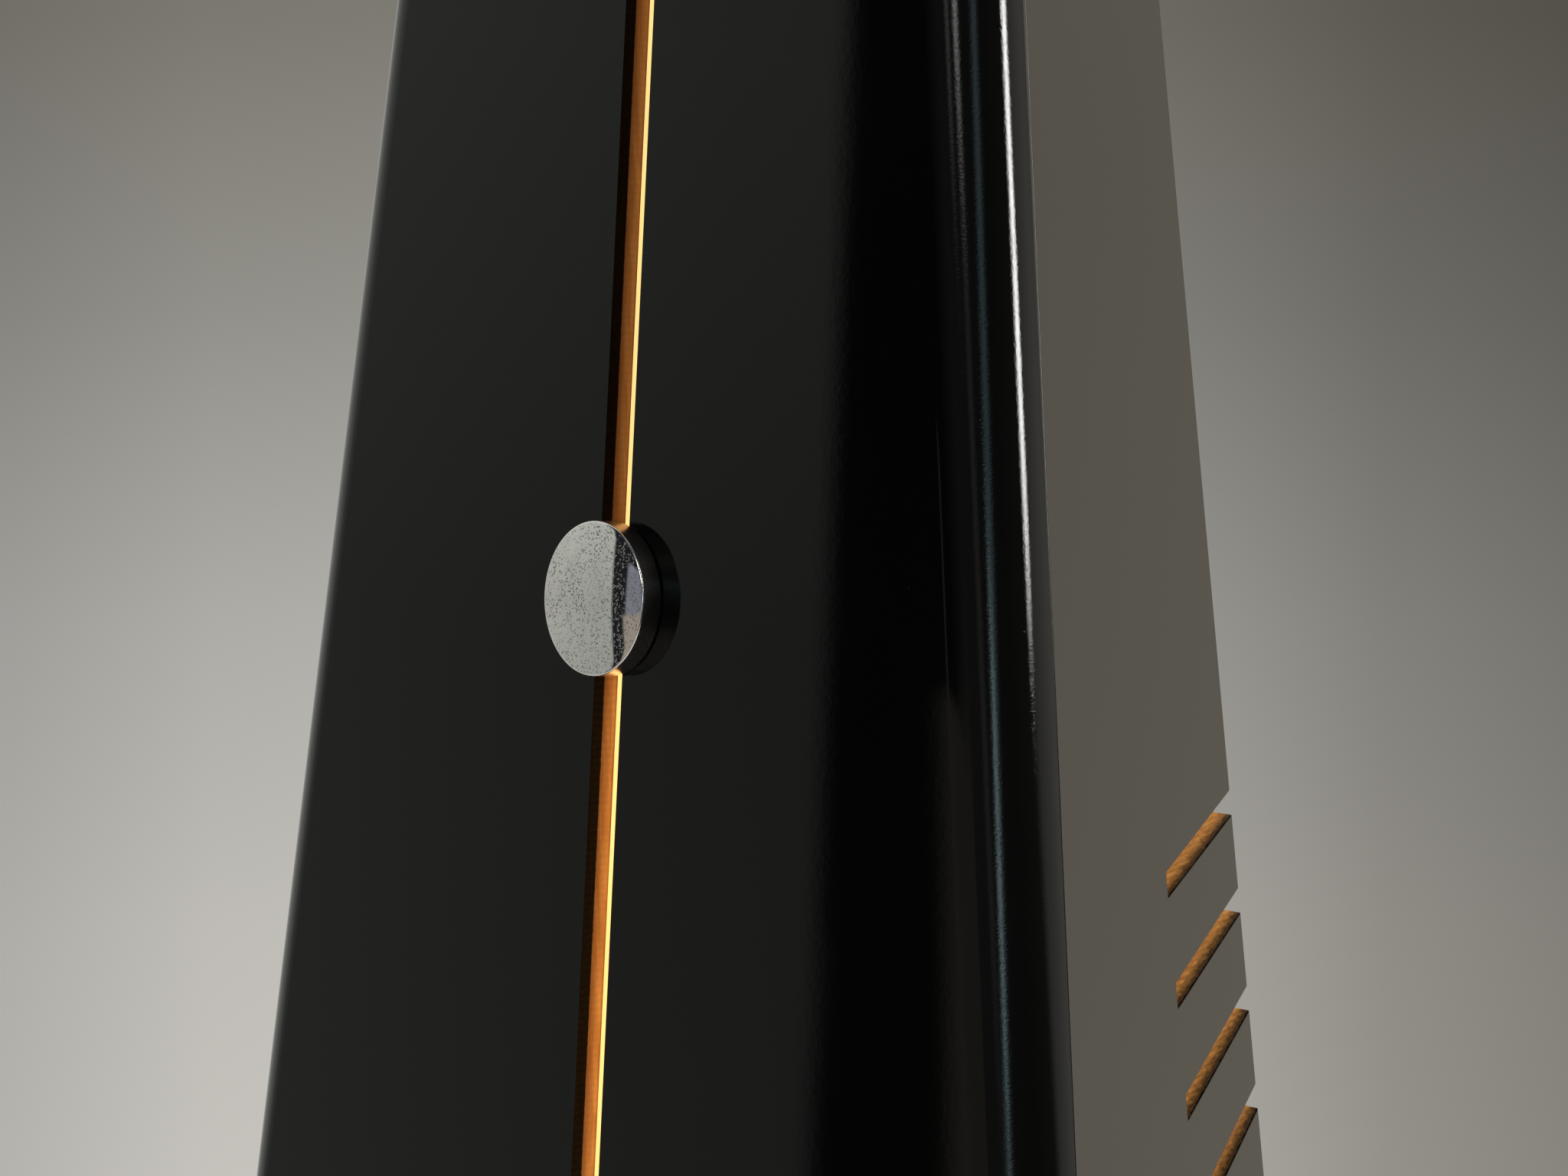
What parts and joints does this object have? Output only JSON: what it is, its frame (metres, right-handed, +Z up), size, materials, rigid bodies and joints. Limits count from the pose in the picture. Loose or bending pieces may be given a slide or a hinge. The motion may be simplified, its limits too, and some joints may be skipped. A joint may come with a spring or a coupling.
{
  "type": "metronome",
  "caption": "Tall slim pyramid metronome in black lacquered wood, with a slit lift-off front, a sliding chrome tempo disc, a clockwork pendulum movement and a lit scale plate inside.",
  "frame": {"origin": "middle of the footprint, on the surface the feet stand on", "axes": "+Z up, -Y out of the leaning front face, +X to the right seen from the front"},
  "size_m": [0.3892, 0.1038, 0.82],
  "materials": {
    "black_lacquer": "polished black lacquer over wood, sawn edges left raw",
    "raw_wood": "sawn, unsealed",
    "chrome": "mirror chrome with fine age pitting",
    "brass": "satin",
    "steel": "bright turned",
    "iron": "painted casting",
    "opal": "opal acrylic, lit from behind",
    "lamp_glass": "opal tube",
    "aluminium": "satin",
    "white_plastic": "moulded",
    "black_plastic": "moulded",
    "rubber": "matte",
    "felt": "pressed felt",
    "cable": "sheathed lead"
  },
  "bodies": {
    "case": {"plinth": "black_lacquer", "feet": "rubber", "side_panel_left": "black_lacquer", "side_panel_right": "black_lacquer", "back_panel": "raw_wood", "back_battens": "raw_wood", "top_cap": "black_lacquer", "back_screws": "steel", "scale_plate": "opal", "scale_rails": "raw_wood", "scale_screws": "steel", "movement_block": "raw_wood", "front_plate": "brass", "rear_plate": "brass", "plate_pillars": "brass", "plate_screws": "steel", "plate_brackets": "brass", "bracket_screws": "steel", "click_screw": "steel", "click_spring": "steel", "stop_bush": "brass", "lamp_tube": "lamp_glass", "lamp_caps": "aluminium", "lamp_holders": "white_plastic", "reflector": "aluminium", "power_inlet": "black_plastic", "inlet_pins": "steel", "switch_bezel": "black_plastic", "leads": "cable"},
    "cover": {"front_cover": "black_lacquer", "cover_pegs": "brass"},
    "disc": {"tempo_disc": "chrome", "guide_block": "brass", "slide_washer": "felt", "tempo_yoke": "brass", "yoke_screws": "steel"},
    "pendulum": {"pendulum_rod": "steel", "pendulum_hub": "brass", "pendulum_bob": "iron", "pendulum_arbor": "steel", "pallet_anchor": "steel"},
    "weight": {"tempo_weight": "brass", "weight_pin": "steel"},
    "barrel_group": {"barrel": "brass", "barrel_cover": "brass", "great_wheel": "brass", "mainspring": "steel"},
    "winding": {"winding_arbor": "steel", "ratchet_wheel": "steel", "winding_key": "brass"},
    "second": {"second_arbor": "steel", "second_wheel": "brass"},
    "escape": {"escape_arbor": "steel", "escape_wheel": "brass"},
    "click_pawl": {"click": "steel"},
    "stop": {"stop_rod": "steel", "stop_pad": "felt"},
    "rocker": {"switch_rocker": "black_plastic"}
  },
  "joints": [
    {"name": "cover_off", "type": "slide", "parent": "case", "child": "cover", "axis": [0, -0.9978, 0.067], "range_m": [0, 0.08]},
    {"name": "disc_slide", "type": "slide", "parent": "cover", "child": "disc", "axis": [0, 0.067, 0.9978], "range_m": [-0.156, 0.3147]},
    {"name": "pendulum_swing", "type": "hinge", "parent": "case", "child": "pendulum", "pos_m": [0, 0.00195, 0.20645], "axis": [0, -0.9978, 0.067], "range_deg": [-7, 7]},
    {"name": "weight_slide", "type": "slide", "parent": "pendulum", "child": "weight", "axis": [0, 0.067, 0.9978], "range_m": [-0.1565, 0.3152]},
    {"name": "barrel_turn", "type": "hinge", "parent": "case", "child": "barrel_group", "pos_m": [0, 0.00425, 0.09144], "axis": [0, -0.9978, 0.067], "continuous": true},
    {"name": "second_turn", "type": "hinge", "parent": "case", "child": "second", "pos_m": [-0.02191, 0.00745, 0.13904], "axis": [0, -0.9978, 0.067], "continuous": true},
    {"name": "escape_turn", "type": "hinge", "parent": "case", "child": "escape", "pos_m": [0, 0.00927, 0.16627], "axis": [0, -0.9978, 0.067], "continuous": true},
    {"name": "key_turn", "type": "hinge", "parent": "case", "child": "winding", "pos_m": [0, 0.02421, 0.0901], "axis": [0, -0.9978, 0.067], "continuous": true},
    {"name": "click_lift", "type": "hinge", "parent": "case", "child": "click_pawl", "pos_m": [0.017, 0.02282, 0.11425], "axis": [0, -0.9978, 0.067], "range_deg": [0, 8], "stiffness_Nm_per_rad": 0.002, "springref_deg": -5.73},
    {"name": "stop_push", "type": "slide", "parent": "case", "child": "stop", "axis": [0, -0.9978, 0.067], "range_m": [0, 0.006]},
    {"name": "switch_rock", "type": "hinge", "parent": "case", "child": "rocker", "pos_m": [0.09, 0.04, 0.062], "axis": [1, 0, 0], "range_deg": [0, 16]}
  ],
  "couplings": [
    {"joint": "weight_slide", "follows": "disc_slide", "ratio": 1},
    {"joint": "second_turn", "follows": "barrel_turn", "ratio": -6},
    {"joint": "escape_turn", "follows": "barrel_turn", "ratio": 36}
  ]
}
